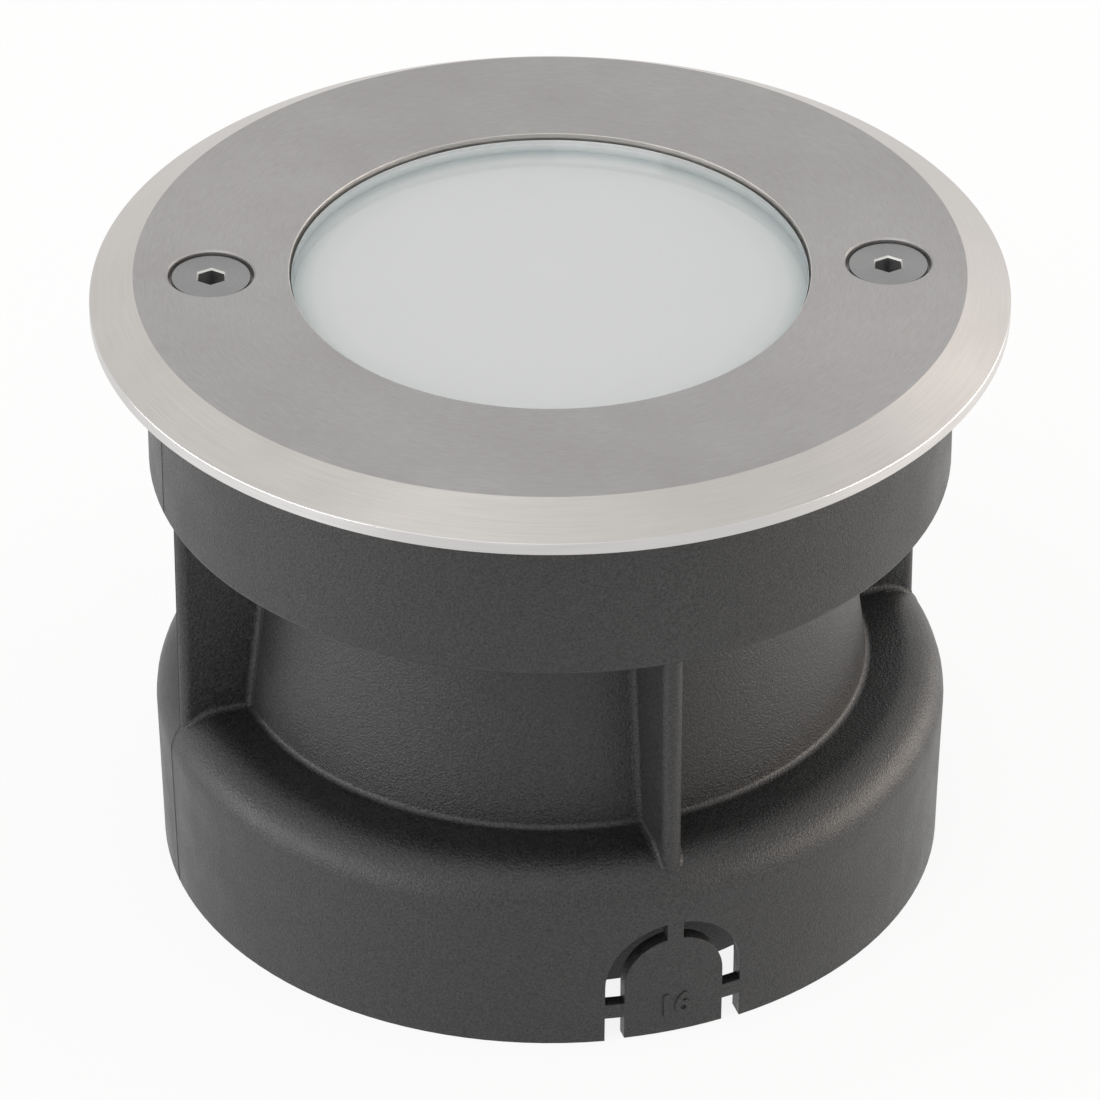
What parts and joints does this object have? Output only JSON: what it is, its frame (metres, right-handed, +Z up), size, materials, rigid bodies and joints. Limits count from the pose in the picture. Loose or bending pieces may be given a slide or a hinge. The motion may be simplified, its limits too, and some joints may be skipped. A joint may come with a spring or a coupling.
{
  "type": "in-ground well light",
  "caption": "Round recessed ground light: brushed steel trim and satin glass over a sealed lamp can, in a ribbed mounting sleeve with conduit knock-outs.",
  "frame": {"origin": "centre of the round footprint, on the sleeve's foot", "axes": "+Z up along the light's axis, -Y towards the front knock-out, +X and -X through the mould's parting line"},
  "size_m": [0.11, 0.11, 0.0795],
  "materials": {
    "sleeve_plastic": "fine spark-eroded texture, black",
    "insert_brass": "turned and knurled",
    "housing_casting": "die cast, grey powder coat",
    "plate_aluminium": "sawn and milled",
    "zinc_screw": "zinc plated",
    "pad_silicone": "soft filled silicone",
    "led_board_white": "white solder mask",
    "led_phosphor": "yellow phosphor in clear silicone",
    "lead_insulation": "red wire insulation",
    "reflector_white": "white, satin",
    "opal_diffuser": "opal, satin",
    "seal_rubber": "moulded silicone and EPDM",
    "satin_glass": "tempered, satin underside, pale green",
    "clamp_aluminium": "die cast, machined faces",
    "driver_board_green": "green solder mask",
    "transformer_tape": "yellow polyester tape",
    "capacitor_sleeve": "shrink sleeve",
    "terminal_plastic": "moulded",
    "gland_nylon": "moulded nylon, black",
    "trim_stainless": "circular brushed stainless steel",
    "retainer_nylon": "natural nylon",
    "screw_stainless": "cold-headed stainless steel"
  },
  "bodies": {
    "sleeve": {"mounting_sleeve": "sleeve_plastic", "screw_inserts": "insert_brass"},
    "light_unit": {"lamp_housing": "housing_casting", "heat_sink_plate": "plate_aluminium", "plate_screws": "zinc_screw", "thermal_pad": "pad_silicone", "led_board": "led_board_white", "led_board_screws": "zinc_screw", "leds": "led_phosphor", "led_leads": "lead_insulation", "reflector": "reflector_white", "diffuser": "opal_diffuser", "glass_seal": "seal_rubber", "cover_glass": "satin_glass", "clamp_ring": "clamp_aluminium", "clamp_screws": "zinc_screw", "driver_board": "driver_board_green", "driver_screws": "zinc_screw", "driver_transformer": "transformer_tape", "driver_capacitor": "capacitor_sleeve", "terminal_block": "terminal_plastic", "gland_washer": "seal_rubber", "gland_body": "gland_nylon", "gland_lock_nut": "gland_nylon", "gland_grommet": "seal_rubber"},
    "dome_nut": {"gland_nut": "gland_nylon"},
    "trim": {"trim_ring": "trim_stainless", "trim_gasket": "seal_rubber", "screw_retainers": "retainer_nylon"},
    "left_screw": {"left_trim_screw": "screw_stainless"},
    "right_screw": {"right_trim_screw": "screw_stainless"}
  },
  "joints": [
    {"name": "light_unit_lift", "type": "slide", "parent": "sleeve", "child": "light_unit", "axis": [0, 0, 1], "range_m": [0, 0.065]},
    {"name": "trim_lift", "type": "slide", "parent": "light_unit", "child": "trim", "axis": [0, 0, 1], "range_m": [0, 0.025]},
    {"name": "left_screw_turn", "type": "hinge", "parent": "trim", "child": "left_screw", "pos_m": [-0.03884, 0.01114, 0.0795], "axis": [0, 0, 1], "continuous": true},
    {"name": "right_screw_turn", "type": "hinge", "parent": "trim", "child": "right_screw", "pos_m": [0.03884, -0.01114, 0.0795], "axis": [0, 0, 1], "continuous": true},
    {"name": "gland_nut_turn", "type": "hinge", "parent": "light_unit", "child": "dome_nut", "pos_m": [0, 0, 0.0185], "axis": [0, 0, 1], "range_deg": [-720, 0]}
  ]
}
